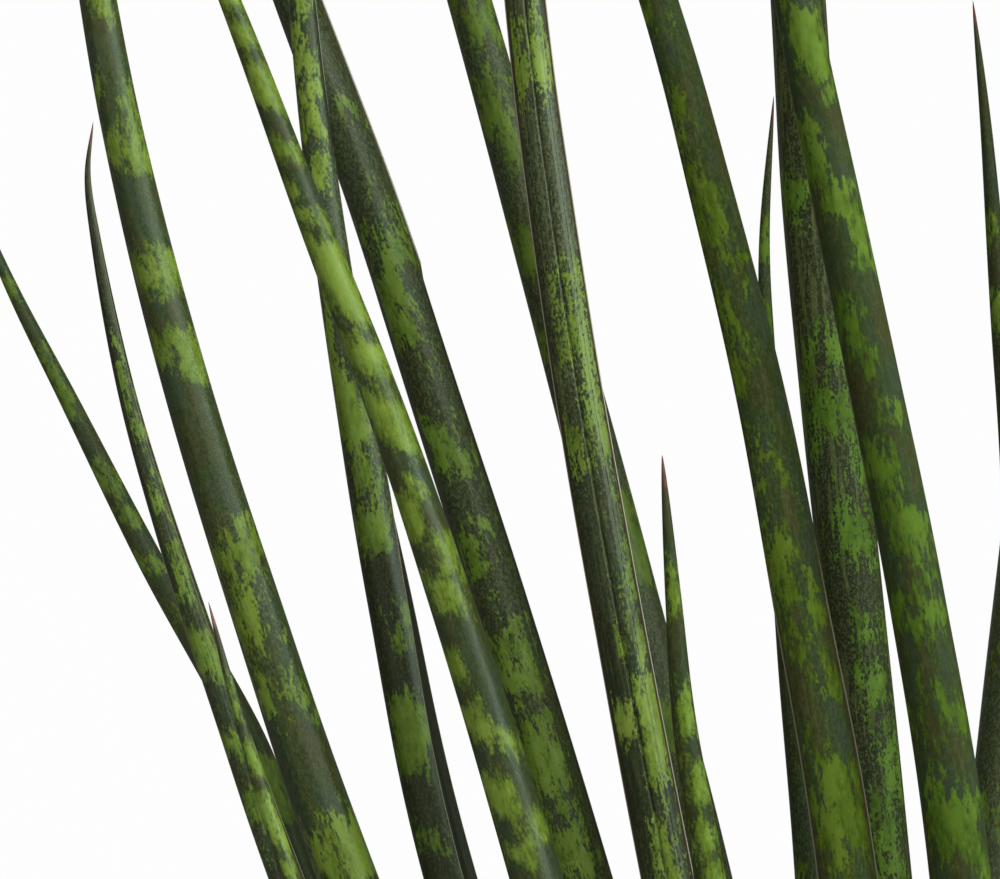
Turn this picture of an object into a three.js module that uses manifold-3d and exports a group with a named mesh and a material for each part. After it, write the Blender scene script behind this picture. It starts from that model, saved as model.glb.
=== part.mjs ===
// A cylindrical snake plant in a plain round pot: upright spear leaves, each rooted in the soil.
// Millimetres, +Z up. The origin is the centre of the pot's flat base, and the pot stands on Z = 0.
import * as THREE from "three";
import { mergeVertices } from "three/addons/utils/BufferGeometryUtils.js";
import Module from "manifold-3d";

const wasm = await Module();
wasm.setup();

// Pot: a thick tapered wall, a flat floor and a plain band round the rim.
const POT_HEIGHT = 140;
const POT_BASE_RADIUS = 70;
const POT_NECK_RADIUS = 93;
const RIM_RADIUS = 98;
const RIM_BAND_HEIGHT = 26;
const WALL = 6;
const FLOOR = 8;
const EDGE = 2;
const POT_SEGMENTS = 48;

// Soil: it fills the pot to a little under the rim, and its top is slightly domed.
const SOIL_EDGE_Z = 122;
const SOIL_SHOULDER_Z = 125.5;
const SOIL_CENTRE_Z = 127;
const GAP = 0.3;

// Leaves: a tapered spear with a shallow channel along the side that faces the middle of its shoot.
const FOOT_Z = 108;
const COLLAR_Z = 132;
const LEAF_SIDES = 12;
const LEAF_STATIONS = [0.1, 0.2, 0.31, 0.42, 0.53, 0.64, 0.74, 0.83, 0.91, 0.965, 1];
const TAPER_POWER = 0.65;
const CHANNEL_DEPTH_AT_FOOT = 0.3;
const CHANNEL_DEPTH_AT_TIP = 0.12;
// A corner counts as the one in the channel where its sideways offset is under this share of its height.
const CHANNEL_CORNER = 0.1;
const LENGTH_STEPS = 400;

// One row for each leaf, foot first:
// thick: thickness just above the soil; full: how long the leaf keeps that thickness (1 tapers all
// the way, 4 only near the tip); channel: compass direction that the channel faces, in degrees from
// +X towards +Y; foot: where its buried end stands, at FOOT_Z; route: points that the centre line then
// passes through, the last of them its tip.
const LEAVES = [
  {
    thick: 11.8, full: 1.3, channel: 20,
    foot: [-62, 16],
    route: [
      [-143, 22, 323.5], [-152.4, 24, 350], [-173.5, 26.5, 388],
      [-190.4, 28.5, 421], [-202.9, 30, 445.5], [-215, 32, 474],
    ],
  },
  {
    thick: 11.2, full: 1.3, channel: -50,
    foot: [-56, -8],
    route: [
      [-144.6, -2, 325], [-155.9, -2.5, 357], [-166.5, -3.5, 388.5],
      [-176, -4, 420.5], [-182.5, -5, 452.5], [-184.1, -5.3, 465.5], [-183, -5.5, 476],
    ],
  },
  {
    thick: 10, full: 1.3, channel: 10,
    foot: [-62, -22], route: [[-143, -26, 327], [-154, -27, 362], [-159, -27, 381]],
  },
  {
    thick: 15.4, full: 1.3, channel: 60,
    foot: [-46, 8],
    route: [
      [-132.5, 4, 324.5], [-151.5, 3.5, 380.5], [-164, 3, 420.5],
      [-174.5, 2.5, 460.5], [-182.5, 2, 500.5], [-204, 0, 661],
    ],
  },
  {
    thick: 14.3, full: 1.3, channel: -18,
    foot: [-38, -8],
    route: [
      [-112, 0, 325], [-124, -0.5, 380.5], [-131, -1, 420.5],
      [-137, -1.5, 460.5], [-141.5, -2, 500.5], [-148, -3, 600],
    ],
  },
  {
    thick: 14.8, full: 1.3, channel: 70,
    foot: [-34, -26],
    route: [
      [-95, -24, 327], [-113, -27.5, 385.5], [-125, -29.5, 420.5],
      [-140, -31.5, 459.5], [-154.5, -34, 498], [-176, -37, 549],
    ],
  },
  {
    thick: 12.2, full: 3, channel: 22,
    foot: [-22, 14],
    route: [
      [-85, 16, 324], [-102, 16.5, 380], [-115, 17, 420.5],
      [-128.3, 17.5, 461.5], [-143.4, 18, 502], [-205, 22, 668],
    ],
  },
  {
    thick: 14, full: 2, channel: 100,
    foot: [-14, 30],
    route: [
      [-60.5, 31, 322.5], [-75, 34.5, 379.5], [-85.8, 37, 421],
      [-96.8, 39.5, 462], [-108.3, 42, 503.5], [-160, 52, 682],
    ],
  },
  {
    thick: 11.6, full: 2.6, channel: -72,
    foot: [-24, -6],
    route: [
      [-68.5, 2, 325], [-79, 0.5, 380.5], [-86, 0, 420.5],
      [-92, -1, 460.5], [-97, -2, 500.5], [-112, -4, 690],
    ],
  },
  {
    thick: 12, full: 1.5, channel: 40,
    foot: [-30, -50], route: [[-62, -56, 329], [-67, -58, 359.5], [-69, -59, 382], [-71.2, -60, 409.8]],
  },
  {
    thick: 15.2, full: 1.3, channel: 55,
    foot: [-14, -24],
    route: [
      [-34.5, -34, 327.5], [-44, -38, 381.5], [-51.5, -40.5, 420.5],
      [-61, -43.5, 459], [-71.5, -46, 497], [-120, -58, 632],
    ],
  },
  {
    thick: 10.3, full: 1.3, channel: -30,
    foot: [-24, 60],
    route: [
      [-36.5, 66, 320], [-41, 67.5, 370], [-45.5, 69.5, 434],
      [-46, 70.5, 455], [-44, 71.5, 485.5],
    ],
  },
  {
    thick: 13.2, full: 4, channel: 92,
    foot: [-4, 2],
    route: [
      [-25.5, 4, 324.5], [-32, 4.5, 388.5], [-35.5, 5, 420.5],
      [-39.5, 5.5, 461], [-42, 6, 501], [-54, 8, 695],
    ],
  },
  {
    thick: 14.9, full: 1.5, channel: 50,
    foot: [4, -22],
    route: [
      [-13, -40, 328], [-21.9, -46.5, 382], [-30.4, -51.5, 423.5],
      [-37.9, -55.5, 458.5], [-45.8, -60, 496], [-76, -80, 668],
    ],
  },
  {
    thick: 12.4, full: 1.3, channel: -80,
    foot: [20, 54], route: [[7.5, 78, 404], [5, 81.5, 438], [2, 85.5, 481], [-0.5, 88, 507]],
  },
  {
    thick: 13, full: 1.5, channel: -120,
    foot: [-6, 18], route: [[-2, 24, 323], [1, 26, 355.5], [4.5, 27.5, 388], [34, 46, 640]],
  },
  { thick: 13, full: 1.5, channel: 100, foot: [18, -40], route: [[24, -80, 330], [32, -152, 600]] },
  { thick: 12, full: 1.3, channel: 130, foot: [36, -34], route: [[54, -72, 330], [92, -130, 556]] },
  { thick: 14, full: 2.2, channel: 150, foot: [18, -6], route: [[36, -24, 330], [62, -50, 688]] },
  { thick: 13.5, full: 1.8, channel: 165, foot: [34, -14], route: [[70, -30, 330], [132, -64, 636]] },
  { thick: 12.5, full: 1.3, channel: 160, foot: [52, -22], route: [[98, -52, 320], [168, -92, 548]] },
  { thick: 13.6, full: 1.6, channel: 180, foot: [50, 0], route: [[102, -6, 325], [192, -16, 596]] },
  { thick: 9.5, full: 1.3, channel: 175, foot: [62, -6], route: [[108, -16, 270], [148, -26, 392]] },
  { thick: 14, full: 2.6, channel: 190, foot: [20, 12], route: [[50, 8, 330], [94, 6, 698]] },
  { thick: 13, full: 2, channel: 195, foot: [38, 14], route: [[80, 24, 330], [158, 36, 652]] },
  { thick: 12.2, full: 1.4, channel: 205, foot: [58, 20], route: [[112, 42, 320], [186, 72, 536]] },
  { thick: 13.4, full: 1.8, channel: 225, foot: [16, 30], route: [[36, 48, 330], [72, 84, 666]] },
  { thick: 12.8, full: 1.5, channel: 230, foot: [34, 36], route: [[66, 68, 330], [122, 122, 616]] },
  { thick: 11.5, full: 1.3, channel: 220, foot: [50, 46], route: [[90, 86, 310], [136, 136, 484]] },
  { thick: 12.6, full: 1.5, channel: 260, foot: [13, 69], route: [[28, 102, 330], [40, 166, 606]] },
  { thick: 11.4, full: 1.3, channel: 245, foot: [34, 56], route: [[52, 112, 320], [74, 178, 508]] },
  { thick: 10.5, full: 1.3, channel: 95, foot: [4, -52], route: [[14, -100, 290], [24, -136, 420]] },
];

const POT_FINISH = { color: 0xb8694a, roughness: 0.85, metalness: 0 };
const SOIL_FINISH = { color: 0x3b2a1f, roughness: 1, metalness: 0 };
const LEAF_FINISH = { color: 0x43592b, roughness: 0.45, metalness: 0 };

const MERGE_DISTANCE = 1e-4;

const asPoints = (pairs) => pairs.map(([radius, z]) => new THREE.Vector2(radius, z));

// A solid turned about +Z from its half outline, whose points run from the axis back to the axis.
function turned(outline, segments) {
  return new THREE.LatheGeometry(asPoints(outline), segments).rotateX(Math.PI / 2);
}

function solidOf(geometry) {
  const bare = new THREE.BufferGeometry();
  bare.setAttribute("position", geometry.getAttribute("position"));
  bare.setIndex(geometry.getIndex());
  const merged = mergeVertices(bare, MERGE_DISTANCE);
  const vertProperties = merged.getAttribute("position").array;
  const triVerts = new Uint32Array(merged.getIndex().array);
  return new wasm.Manifold(new wasm.Mesh({ numProp: 3, vertProperties, triVerts }));
}

function geometryOf(solid) {
  const mesh = solid.getMesh();
  const geometry = new THREE.BufferGeometry();
  geometry.setAttribute("position", new THREE.BufferAttribute(mesh.vertProperties, 3));
  geometry.setIndex(new THREE.BufferAttribute(mesh.triVerts, 1));
  return geometry;
}

function piece(name, geometry, finish) {
  const mesh = new THREE.Mesh(geometry, new THREE.MeshStandardMaterial(finish));
  mesh.name = name;
  return mesh;
}

// Radius of the pot's inner wall at height z: the outer wall's slope, one wall thickness in.
function innerRadius(z) {
  const share = z / POT_HEIGHT;
  return POT_BASE_RADIUS + (POT_NECK_RADIUS - POT_BASE_RADIUS) * share - WALL;
}

function potGeometry() {
  const bandBottom = POT_HEIGHT - RIM_BAND_HEIGHT;
  const wallUnderBand = innerRadius(bandBottom) + WALL;
  return turned(
    [
      [0, 0],
      [POT_BASE_RADIUS - EDGE, 0],
      [POT_BASE_RADIUS, EDGE],
      [wallUnderBand, bandBottom],
      [RIM_RADIUS - EDGE, bandBottom],
      [RIM_RADIUS, bandBottom + EDGE],
      [RIM_RADIUS, POT_HEIGHT - EDGE],
      [RIM_RADIUS - EDGE, POT_HEIGHT],
      [innerRadius(POT_HEIGHT) + EDGE, POT_HEIGHT],
      [innerRadius(POT_HEIGHT), POT_HEIGHT - EDGE],
      [innerRadius(FLOOR), FLOOR],
      [0, FLOOR],
    ],
    POT_SEGMENTS,
  );
}

// The centre line of a leaf, its length, and its thickness law.
class Spear {
  constructor({ thick, full, channel, foot, route }) {
    const points = [[...foot, FOOT_Z], ...route].map((p) => new THREE.Vector3(...p));
    this.line = new THREE.CatmullRomCurve3(points, false, "centripetal");
    this.line.arcLengthDivisions = LENGTH_STEPS;
    this.length = this.line.getLength();
    this.thick = thick;
    this.full = full;
    const angle = THREE.MathUtils.degToRad(channel);
    this.channelWay = new THREE.Vector3(Math.cos(angle), Math.sin(angle), 0);
  }

  // Half the thickness at share t of the length: constant near the foot, then down to a point.
  radius(t) {
    return (this.thick / 2) * Math.pow(Math.max(0, 1 - Math.pow(t, this.full)), TAPER_POWER);
  }

  // A straight spear with its length along Y, from its half outline.
  blank(outline) {
    return new THREE.LatheGeometry(asPoints(outline), LEAF_SIDES);
  }

  // Directions at share t: along the leaf, towards the side that the channel faces, and across both.
  frameAt(t) {
    const along = this.line.getTangentAt(t);
    const slant = this.channelWay.dot(along);
    const towards = this.channelWay.clone().addScaledVector(along, -slant).normalize();
    return { along, towards, across: new THREE.Vector3().crossVectors(along, towards) };
  }

  // Sets a straight blank along the centre line, with the corner that faces +Z drawn in as a channel.
  bend(geometry) {
    const position = geometry.getAttribute("position");
    for (let i = 0; i < position.count; i += 1) {
      const distance = position.getY(i);
      const t = THREE.MathUtils.clamp(distance / this.length, 0, 1);
      const { along, towards, across } = this.frameAt(t);
      const x = position.getX(i);
      let z = position.getZ(i);
      const inChannel = z > 0 && Math.abs(x) < z * CHANNEL_CORNER;
      if (inChannel) z *= 1 - THREE.MathUtils.lerp(CHANNEL_DEPTH_AT_FOOT, CHANNEL_DEPTH_AT_TIP, t);
      const point = this.line.getPointAt(t)
        .addScaledVector(along, distance - t * this.length)
        .addScaledVector(across, x)
        .addScaledVector(towards, z);
      position.setXYZ(i, point.x, point.y, point.z);
    }
    return geometry;
  }

  // Share of the length at which the leaf has cleared the soil.
  get collar() {
    return (COLLAR_Z - FOOT_Z) / this.length;
  }

  leaf() {
    const stations = [0, this.collar, ...LEAF_STATIONS].map((t) => [this.radius(t), t * this.length]);
    return this.bend(this.blank([[0, 0], ...stations]));
  }

  // The hole that the foot stands in: the foot's own shape, one gap larger all round.
  socket() {
    const mouth = this.collar * this.length;
    return this.bend(
      this.blank([
        [0, -GAP],
        [this.radius(0) + GAP, -GAP],
        [this.radius(this.collar) + GAP, mouth],
        [0, mouth],
      ]),
    );
  }
}

function soilGeometry(spears) {
  const body = turned(
    [
      [0, FLOOR + GAP],
      [innerRadius(FLOOR + GAP) - GAP, FLOOR + GAP],
      [innerRadius(SOIL_EDGE_Z) - GAP, SOIL_EDGE_Z],
      [innerRadius(SOIL_EDGE_Z) / 2, SOIL_SHOULDER_Z],
      [0, SOIL_CENTRE_Z],
    ],
    POT_SEGMENTS,
  );
  return geometryOf(spears.reduce((soil, spear) => soil.subtract(solidOf(spear.socket())), solidOf(body)));
}

const spears = LEAVES.map((leaf) => new Spear(leaf));
const plant = new THREE.Group();
plant.add(piece("pot", potGeometry(), POT_FINISH));
plant.add(piece("soil", soilGeometry(spears), SOIL_FINISH));
spears.forEach((spear, index) => {
  const name = "leaf_" + String(index + 1).padStart(2, "0");
  plant.add(piece(name, spear.leaf(), LEAF_FINISH));
});

export default plant;
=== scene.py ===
import bpy
import numpy as np
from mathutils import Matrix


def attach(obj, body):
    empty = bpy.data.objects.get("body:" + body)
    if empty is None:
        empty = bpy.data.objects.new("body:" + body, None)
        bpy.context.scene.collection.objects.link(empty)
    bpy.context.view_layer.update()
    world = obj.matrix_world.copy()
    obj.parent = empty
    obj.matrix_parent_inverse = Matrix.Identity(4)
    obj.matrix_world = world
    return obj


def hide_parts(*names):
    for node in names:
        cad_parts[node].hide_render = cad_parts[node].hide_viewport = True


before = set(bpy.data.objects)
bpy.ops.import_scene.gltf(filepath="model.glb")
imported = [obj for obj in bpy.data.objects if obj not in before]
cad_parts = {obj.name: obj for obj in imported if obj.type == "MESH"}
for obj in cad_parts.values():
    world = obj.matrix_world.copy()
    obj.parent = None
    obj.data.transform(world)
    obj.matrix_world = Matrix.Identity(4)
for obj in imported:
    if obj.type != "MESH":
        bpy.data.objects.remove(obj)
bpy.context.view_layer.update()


# ---- Pot ------------------------------------------------------------------------------------
# A round pot of unglazed fired clay with a thick band round its rim. It is turned on a wheel, so
# the wall keeps faint rings and every edge is rounded; lime from the water blooms on the outside.

MM = 0.001
POT_HEIGHT = 140 * MM
BASE_RADIUS = 70 * MM
NECK_RADIUS = 93 * MM
RIM_RADIUS = 98 * MM
RIM_BAND = 26 * MM
WALL = 6 * MM
FLOOR = 8 * MM
EDGE_ROUNDING = 2.4 * MM
PROFILE_STEP = 2.2 * MM
POT_SIDES = 144
RING_PITCH = 3.1 * MM
RING_DEPTH = 0.11 * MM
RINGS_START = 4 * MM
RINGS_END = 3 * MM
MIDDLE_RADIUS = 4 * MM


def inner_radius(z):
    """Radius of the pot's inner wall at height z: the outer wall's slope, one wall thickness in."""
    return BASE_RADIUS + (NECK_RADIUS - BASE_RADIUS) * z / POT_HEIGHT - WALL


def rounded(outline, reach):
    """The outline with each inner corner replaced by a curve (1-s)^2 a + 2s(1-s) corner + s^2 b,
    where a and b lie at the distance reach before and after the corner on its two sides."""
    corners = outline[1:-1]
    back = outline[:-2] - corners
    ahead = outline[2:] - corners
    a = corners + reach * back / np.linalg.norm(back, axis=1, keepdims=True)
    b = corners + reach * ahead / np.linalg.norm(ahead, axis=1, keepdims=True)
    s = np.linspace(0, 1, 6)[None, :, None]
    curves = (1 - s) ** 2 * a[:, None] + 2 * s * (1 - s) * corners[:, None] + s**2 * b[:, None]
    return np.concatenate([outline[:1], curves.reshape(-1, 2), outline[-1:]])


def filled(path, step):
    """The path with extra points on its long straights, so that no two neighbours are much over a
    step apart."""
    lengths = np.linalg.norm(np.diff(path, axis=0), axis=1)
    counts = np.maximum(1, np.round(lengths / step)).astype(int)
    index = np.repeat(np.arange(len(lengths)), counts)
    place = np.concatenate([np.arange(n) / n for n in counts])
    inside = path[index] + place[:, None] * (path[index + 1] - path[index])
    return np.concatenate([inside, path[-1:]])


def closed_skins(name, rings, first_poles, last_poles):
    """One mesh of closed skins. rings[k, i, j] is point j of ring i of skin k, counted
    anticlockwise as seen from the last ring. Quads join points j and j + 1 of rings i and i + 1,
    and a fan of triangles closes each end on its pole."""
    skins, count, around = rings.shape[:3]
    size = count * around + 2
    corner = np.arange(count * around).reshape(count, around)
    beside = np.roll(corner, -1, axis=1)
    quads = np.stack([corner[:-1], beside[:-1], beside[1:], corner[1:]], axis=-1).reshape(-1, 4)
    bottom = np.stack([beside[0], corner[0], np.full(around, size - 2)], axis=-1)
    top = np.stack([corner[-1], beside[-1], np.full(around, size - 1)], axis=-1)
    starts = np.arange(skins)[:, None, None] * size
    faces = (quads + starts).reshape(-1, 4).tolist()
    faces += (np.concatenate([bottom, top]) + starts).reshape(-1, 3).tolist()
    points = np.concatenate(
        [rings.reshape(skins, -1, 3), first_poles[:, None], last_poles[:, None]], axis=1
    )
    mesh = bpy.data.meshes.new(name)
    mesh.from_pydata(points.reshape(-1, 3).tolist(), [], faces)
    mesh.shade_smooth()
    piece = bpy.data.objects.new(name, mesh)
    bpy.context.scene.collection.objects.link(piece)
    return piece


class Finish:
    """A node material: each method adds one node, or two, and returns its output."""

    def __init__(self, name, **sockets):
        self.material = bpy.data.materials.new(name)
        self.material.use_nodes = True
        self.tree = self.material.node_tree
        self.shader = self.tree.nodes["Principled BSDF"]
        for key, value in sockets.items():
            socket = key.replace("_", " ").title().replace("Ior", "IOR")
            self.shader.inputs[socket].default_value = value

    def node(self, kind, inputs, output=0, **settings):
        made = self.tree.nodes.new("ShaderNode" + kind)
        for key, value in settings.items():
            setattr(made, key, value)
        for key, value in inputs.items():
            if isinstance(value, bpy.types.NodeSocket):
                self.tree.links.new(value, made.inputs[key])
            else:
                made.inputs[key].default_value = value
        return made.outputs[output]

    def place(self):
        return self.node("TexCoord", {}, "Object")

    def attribute(self, name, output="Fac"):
        return self.node("Attribute", {}, output, attribute_name=name)

    def stretched(self, place, factors):
        return self.node("VectorMath", {0: place, 1: factors}, operation="MULTIPLY")

    def noise(self, place, scale, detail=2.0, roughness=0.5):
        inputs = {"Vector": place, "Scale": scale, "Detail": detail, "Roughness": roughness}
        return self.node("TexNoise", inputs, "Fac")

    def sum(self, a, b):
        return self.node("Math", {0: a, 1: b}, operation="ADD")

    def product(self, a, b):
        return self.node("Math", {0: a, 1: b}, operation="MULTIPLY")

    def scaled(self, a, factor, offset):
        return self.node("Math", {0: a, 1: factor, 2: offset}, operation="MULTIPLY_ADD")

    def share(self, value, zero_at, one_at):
        inputs = {"Value": value, "From Min": zero_at, "From Max": one_at}
        return self.node("MapRange", inputs, interpolation_type="SMOOTHSTEP")

    def mix(self, amount, colour_a, colour_b, blend="MIX"):
        ends = [c if isinstance(c, bpy.types.NodeSocket) else (*c, 1) for c in (colour_a, colour_b)]
        inputs = {0: amount, 6: ends[0], 7: ends[1]}
        return self.node("Mix", inputs, 2, data_type="RGBA", blend_type=blend)

    def relief(self, height, distance, strength, under=None):
        inputs = {"Height": height, "Distance": distance, "Strength": strength}
        if under is not None:
            inputs["Normal"] = under
        return self.node("Bump", inputs)

    def finish(self, colour, roughness, normal):
        self.tree.links.new(colour, self.shader.inputs["Base Color"])
        self.tree.links.new(roughness, self.shader.inputs["Roughness"])
        self.tree.links.new(normal, self.shader.inputs["Normal"])
        return self.material


def fired_clay():
    clay = Finish("fired_clay", specular_ior_level=0.3)
    place = clay.place()
    cloud = clay.noise(place, 22, 4)
    body = clay.mix(clay.share(cloud, 0.35, 0.65), (0.24, 0.066, 0.029), (0.33, 0.108, 0.050))
    turning = clay.noise(clay.stretched(place, (6, 6, 420)), 1, 3)
    body = clay.mix(clay.share(turning, 0.40, 0.72), body, (0.37, 0.135, 0.068))
    sand = clay.noise(place, 1500, 1)
    body = clay.mix(clay.share(sand, 0.66, 0.74), body, (0.42, 0.22, 0.125))
    body = clay.mix(clay.share(sand, 0.36, 0.28), body, (0.14, 0.042, 0.021))
    coarse, fine = clay.noise(place, 38, 6, 0.62), clay.noise(place, 260, 2)
    drift = clay.sum(coarse, clay.product(fine, 0.25))
    height = clay.node("SeparateXYZ", {0: place}, 2)
    low_down = clay.share(height, 62 * MM, 4 * MM)
    under_band = clay.share(height, 88 * MM, 112 * MM)
    damp_places = clay.product(clay.sum(low_down, under_band), 0.13)
    bloom = clay.sum(clay.scaled(drift, 1, -0.12), damp_places)
    body = clay.mix(clay.product(clay.share(bloom, 0.62, 0.76), 0.40), body, (0.45, 0.33, 0.26))
    near_rim = clay.share(height, 128 * MM, 141 * MM)
    stain = clay.share(clay.sum(clay.noise(place, 30, 5), near_rim), 1.1, 1.6)
    body = clay.mix(clay.product(stain, 0.5), body, (0.20, 0.11, 0.07))
    rough = clay.scaled(clay.noise(place, 500, 2), 0.2, 0.76)
    grain = clay.relief(clay.noise(place, 1500, 3), 0.25 * MM, 0.45)
    return clay.finish(body, rough, clay.relief(turning, 0.3 * MM, 0.35, grain))


def pot_profile():
    """Half outline of the pot, from the middle of its foot, up the outside, over the rim and down
    inside."""
    band_bottom = POT_HEIGHT - RIM_BAND
    inner_rim = inner_radius(POT_HEIGHT)
    outline = np.array(
        [
            (MIDDLE_RADIUS, 0),
            (BASE_RADIUS, 0),
            (inner_radius(band_bottom) + WALL, band_bottom),
            (RIM_RADIUS - 0.3 * MM, band_bottom + 0.4 * MM),
            (RIM_RADIUS, POT_HEIGHT),
            (inner_rim, POT_HEIGHT),
            (inner_radius(FLOOR), FLOOR),
            (MIDDLE_RADIUS, FLOOR),
        ]
    )
    return filled(rounded(outline, EDGE_ROUNDING), PROFILE_STEP)


def make_pot():
    """Radius from the profile, less a ripple RING_DEPTH (1 + sin) that climbs the outer wall as a
    helix, from RINGS_START above the foot to RINGS_END below the rim band."""
    radius, z = pot_profile()[:, :, None].transpose(1, 0, 2)
    angle = np.linspace(0, 2 * np.pi, POT_SIDES, endpoint=False)[None, :]
    outside = radius > inner_radius(z) + 0.6 * WALL
    on_wall = outside & (z > RINGS_START) & (z < POT_HEIGHT - RIM_BAND - RINGS_END)
    ripple = 1 + np.sin(2 * np.pi * z / RING_PITCH - angle)
    radius = radius - RING_DEPTH * ripple * on_wall
    rings = np.stack([radius * np.cos(angle), radius * np.sin(angle), z + 0 * angle], axis=-1)
    return closed_skins("terracotta_pot", rings[None], np.zeros((1, 3)), np.array([[0, 0, FLOOR]]))


pot = make_pot()
pot.data.materials.append(fired_clay())
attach(pot, "root")
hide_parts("pot")


# ---- Leaves ---------------------------------------------------------------------------------
# Each leaf is one solid fleshy spear, smooth and waxy, that leaves the soil upright and leans out.
# A shallow channel with thin horny margins runs up its inner side, and the dry tip is a hard point.
# Bands of light green cross the dark skin; where a leaf lists none, they are drawn at random.

FOOT_Z = 108 * MM
SOIL_Z = 126 * MM
TAPER_POWER = 0.65
TAPER_FULLNESS = 1.3
CHANNEL_AT_FOOT = 0.30
CHANNEL_AT_TIP = 0.12
CHANNEL_SPREAD = 30
LIP_HEIGHT = 0.022
LIP_WIDTH = 3.5
LEAF_STATIONS = 200
STEPS_A_STRETCH = 400
STATION_CROWDING = 1.5
FLUTES = 7
FLUTE_WIDTH = 9
CREASE_WIDTH = 3.0
PALE_LINE = 0.30
LEAF_FIT = 0.99
DULL_BELOW = 0.45

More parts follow.
